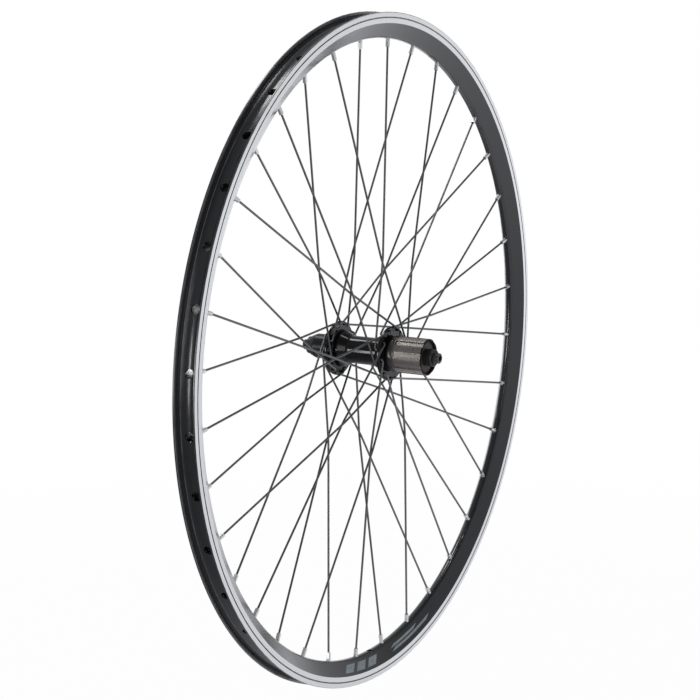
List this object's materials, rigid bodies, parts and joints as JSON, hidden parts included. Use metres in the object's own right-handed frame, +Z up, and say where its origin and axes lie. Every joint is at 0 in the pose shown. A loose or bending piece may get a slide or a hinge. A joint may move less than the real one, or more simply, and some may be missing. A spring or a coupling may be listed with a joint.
{
  "type": "bicycle wheel",
  "caption": "Spoked rear bicycle wheel without tyre: black double-wall rim, crossed wire spokes, flanged hub on a hollow axle and a splined freehub.",
  "frame": {"origin": "the wheel's centre: on the axle's axis, in the rim's middle plane, halfway between the axle's tips", "axes": "+Y along the axle to the left side with the freehub at -Y, +Z up with the valve hole at the bottom, +X forward"},
  "size_m": [0.634, 0.146, 0.634],
  "materials": {
    "rim": "satin black anodised, brake tracks machined bright",
    "nipple": "bright nickel plate",
    "spoke": "drawn stainless steel",
    "hub": "gloss black anodised",
    "axle_steel": "dark plated steel",
    "bearing_steel": "ground and polished",
    "freehub_steel": "brownish hardened steel",
    "cap_steel": "black plated sheet steel",
    "rubber": "matt black"
  },
  "bodies": {
    "axle_set": {"axle": "axle_steel", "left_cone": "axle_steel", "left_spacer": "axle_steel", "left_locknut": "axle_steel", "left_boot": "rubber", "right_cone": "axle_steel", "right_spacer": "axle_steel", "right_locknut": "axle_steel"},
    "wheel": {"rim": "rim", "nipples": "nipple", "spokes_drive_pushing": "spoke", "spokes_left_pushing": "spoke", "spokes_drive_pulling": "spoke", "spokes_left_pulling": "spoke", "hub_shell": "hub", "left_cup": "bearing_steel", "left_dust_cap": "cap_steel", "right_dust_cap": "cap_steel", "freehub_core": "bearing_steel", "freehub_bolt": "bearing_steel", "freehub_cup": "bearing_steel", "freehub_seal": "rubber", "pawl_spring": "bearing_steel"},
    "freehub": {"freehub_shell": "freehub_steel"},
    "left_ball_set": {"left_balls": "bearing_steel"},
    "right_ball_set": {"right_balls": "bearing_steel"},
    "freehub_inner_row": {"freehub_inner_balls": "bearing_steel"},
    "freehub_outer_row": {"freehub_outer_balls": "bearing_steel"},
    "pawl_a": {"pawl_1": "bearing_steel"},
    "pawl_b": {"pawl_2": "bearing_steel"}
  },
  "joints": [
    {"name": "wheel_spin", "type": "hinge", "parent": "axle_set", "child": "wheel", "pos_m": [0, 0, 0], "axis": [0, 1, 0], "continuous": true},
    {"name": "freewheel", "type": "hinge", "parent": "wheel", "child": "freehub", "pos_m": [0, -0.044, 0], "axis": [0, 1, 0], "continuous": true},
    {"name": "left_balls_roll", "type": "hinge", "parent": "axle_set", "child": "left_ball_set", "pos_m": [0, 0.034, 0], "axis": [0, 1, 0], "continuous": true},
    {"name": "right_balls_roll", "type": "hinge", "parent": "axle_set", "child": "right_ball_set", "pos_m": [0, -0.055, 0], "axis": [0, 1, 0], "continuous": true},
    {"name": "freehub_inner_balls_roll", "type": "hinge", "parent": "wheel", "child": "freehub_inner_row", "pos_m": [0, -0.029, 0], "axis": [0, 1, 0], "continuous": true},
    {"name": "freehub_outer_balls_roll", "type": "hinge", "parent": "wheel", "child": "freehub_outer_row", "pos_m": [0, -0.0478, 0], "axis": [0, 1, 0], "continuous": true},
    {"name": "pawl_1_swing", "type": "hinge", "parent": "wheel", "child": "pawl_a", "pos_m": [0.0053, -0.03434, 0.01007], "axis": [0, 1, 0], "range_deg": [0, 10]},
    {"name": "pawl_2_swing", "type": "hinge", "parent": "wheel", "child": "pawl_b", "pos_m": [-0.0053, -0.03434, -0.01007], "axis": [0, 1, 0], "range_deg": [0, 10]}
  ],
  "couplings": [
    {"joint": "left_balls_roll", "follows": "wheel_spin", "ratio": 0.6187},
    {"joint": "right_balls_roll", "follows": "wheel_spin", "ratio": 0.6187},
    {"joint": "freehub_inner_balls_roll", "follows": "freewheel", "ratio": 0.5427},
    {"joint": "freehub_outer_balls_roll", "follows": "freewheel", "ratio": 0.5427}
  ]
}
